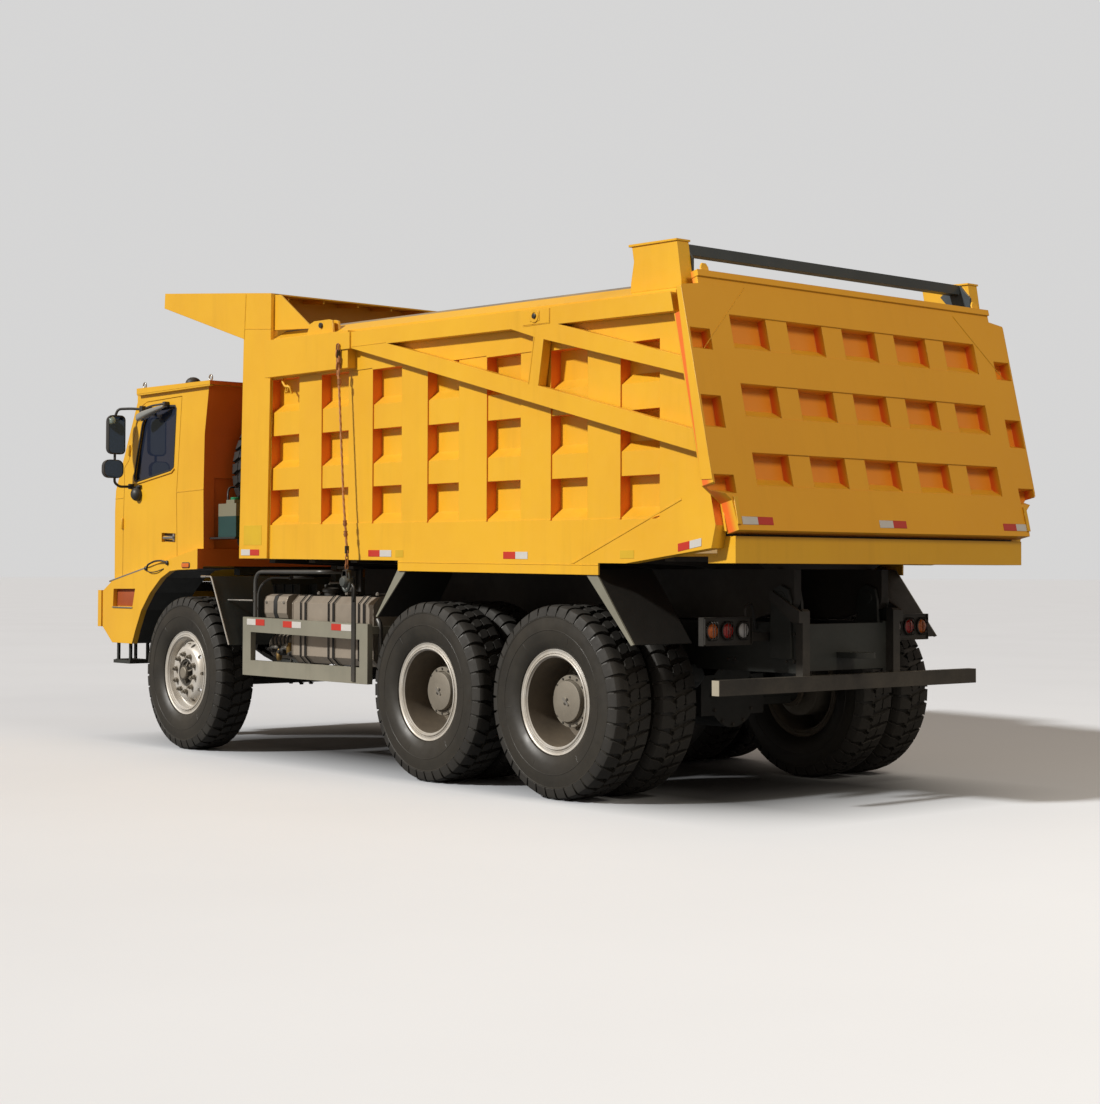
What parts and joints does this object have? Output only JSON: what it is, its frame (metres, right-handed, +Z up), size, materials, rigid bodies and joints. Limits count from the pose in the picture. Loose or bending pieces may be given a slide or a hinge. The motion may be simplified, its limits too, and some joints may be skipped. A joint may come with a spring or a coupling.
{
  "type": "mining dump truck",
  "caption": "Three-axle off-road dump truck with an offset cab, a ribbed tipping bed, a protective canopy and a lever-opened tailgate.",
  "frame": {"origin": "on the ground plane, below the centre of the overall bounding box", "axes": "+Z up, +Y towards the vehicle's rear, +X towards the vehicle's left side"},
  "size_m": [3.772, 8.6477, 4.1598],
  "materials": {
    "body_paint": "dusty worn yellow paint",
    "chassis_paint": "dark chassis paint, dusty",
    "engine_paint": "dull engine paint",
    "beam_paint": "dark blue-grey paint",
    "guard_paint": "dust-covered grey paint",
    "rim_paint": "dusty silver paint",
    "tyre_rubber": "matt rubber, dusty",
    "window_glass": "clear",
    "black_plastic": "matt",
    "green_plastic": "satin",
    "seat_fabric": "woven",
    "lamp_lens": "glossy lens",
    "hoist_chrome": "polished",
    "rope_steel": "weathered"
  },
  "bodies": {
    "chassis": {"frame_rails": "chassis_paint", "frame_crossmembers": "chassis_paint", "engine_block": "engine_paint", "front_axle_beam": "chassis_paint", "leaf_springs": "chassis_paint", "drive_axles": "chassis_paint", "drive_shafts": "chassis_paint", "cab_shell": "body_paint", "cab_glass": "window_glass", "seat": "seat_fabric", "dashboard": "black_plastic", "engine_hood": "body_paint", "deck_handrail": "black_plastic", "front_bumper": "body_paint", "front_mudguards": "black_plastic", "boarding_steps": "black_plastic", "spare_tyre": "tyre_rubber", "spare_rim": "rim_paint", "spare_carrier": "chassis_paint", "coolant_bottle": "green_plastic", "air_cleaner": "black_plastic", "fuel_tank": "guard_paint", "tank_brackets": "chassis_paint", "battery_box": "chassis_paint", "air_tanks": "chassis_paint", "side_guards": "guard_paint", "rear_bumper": "chassis_paint", "tail_lamps": "lamp_lens"},
    "door": {"cab_door": "body_paint", "door_glass": "window_glass", "door_mirror": "black_plastic"},
    "bed": {"bed_sides": "body_paint", "bed_front_wall": "body_paint", "bed_canopy": "body_paint", "bed_floor": "body_paint", "bed_beams": "body_paint", "bed_uprights": "body_paint", "bed_cross_beam": "beam_paint", "bed_mudguards": "guard_paint"},
    "tailgate": {"tailgate_panel": "body_paint", "tailgate_arms": "body_paint", "tailgate_ropes": "rope_steel"},
    "hoist_barrel": {"hoist_barrels": "chassis_paint"},
    "hoist_rod": {"hoist_rods": "hoist_chrome"},
    "steering_left": {"knuckle_left": "chassis_paint"},
    "steering_right": {"knuckle_right": "chassis_paint"},
    "front_wheel_left": {"front_tyre_left": "tyre_rubber", "front_rim_left": "rim_paint"},
    "front_wheel_right": {"front_tyre_right": "tyre_rubber", "front_rim_right": "rim_paint"},
    "middle_wheels_left": {"middle_tyres_left": "tyre_rubber", "middle_rims_left": "rim_paint"},
    "middle_wheels_right": {"middle_tyres_right": "tyre_rubber", "middle_rims_right": "rim_paint"},
    "rear_wheels_left": {"rear_tyres_left": "tyre_rubber", "rear_rims_left": "rim_paint"},
    "rear_wheels_right": {"rear_tyres_right": "tyre_rubber", "rear_rims_right": "rim_paint"}
  },
  "joints": [
    {"name": "bed_tip", "type": "hinge", "parent": "chassis", "child": "bed", "pos_m": [0, 3.7361, 1.42], "axis": [-1, 0, 0], "range_deg": [0, 45]},
    {"name": "tailgate_lift", "type": "hinge", "parent": "bed", "child": "tailgate", "pos_m": [0, 2.4671, 3.407], "axis": [1, 0, 0], "range_deg": [0, 45.5]},
    {"name": "hoist_swing", "type": "hinge", "parent": "chassis", "child": "hoist_barrel", "pos_m": [0, 2.1361, 0.9], "axis": [-1, 0, 0], "range_deg": [0, 57.3]},
    {"name": "hoist_extend", "type": "slide", "parent": "hoist_barrel", "child": "hoist_rod", "axis": [0, -0.9496, 0.3134], "range_m": [0, 1.175]},
    {"name": "door_swing", "type": "hinge", "parent": "chassis", "child": "door", "pos_m": [1.565, -3.9009, 2.4], "axis": [0, 0, -1], "range_deg": [0, 70]},
    {"name": "steer_left", "type": "hinge", "parent": "chassis", "child": "steering_left", "pos_m": [1.32, -2.4639, 0.684], "axis": [0, 0, 1], "range_deg": [-33, 33]},
    {"name": "steer_right", "type": "hinge", "parent": "chassis", "child": "steering_right", "pos_m": [-1.32, -2.4639, 0.684], "axis": [0, 0, 1], "range_deg": [-33, 33]},
    {"name": "front_wheel_left_roll", "type": "hinge", "parent": "steering_left", "child": "front_wheel_left", "pos_m": [1.538, -2.4639, 0.684], "axis": [1, 0, 0], "continuous": true},
    {"name": "front_wheel_right_roll", "type": "hinge", "parent": "steering_right", "child": "front_wheel_right", "pos_m": [-1.538, -2.4639, 0.684], "axis": [1, 0, 0], "continuous": true},
    {"name": "middle_wheels_left_roll", "type": "hinge", "parent": "chassis", "child": "middle_wheels_left", "pos_m": [1.26, 1.1071, 0.684], "axis": [1, 0, 0], "continuous": true},
    {"name": "middle_wheels_right_roll", "type": "hinge", "parent": "chassis", "child": "middle_wheels_right", "pos_m": [-1.26, 1.1071, 0.684], "axis": [1, 0, 0], "continuous": true},
    {"name": "rear_wheels_left_roll", "type": "hinge", "parent": "chassis", "child": "rear_wheels_left", "pos_m": [1.26, 2.6071, 0.684], "axis": [1, 0, 0], "continuous": true},
    {"name": "rear_wheels_right_roll", "type": "hinge", "parent": "chassis", "child": "rear_wheels_right", "pos_m": [-1.26, 2.6071, 0.684], "axis": [1, 0, 0], "continuous": true}
  ],
  "couplings": [
    {"joint": "tailgate_lift", "follows": "bed_tip", "ratio": 1},
    {"joint": "hoist_swing", "follows": "bed_tip", "ratio": 1.2613},
    {"joint": "hoist_extend", "follows": "bed_tip", "m_per_rad": 1.4894},
    {"joint": "steer_right", "follows": "steer_left", "ratio": 1}
  ]
}
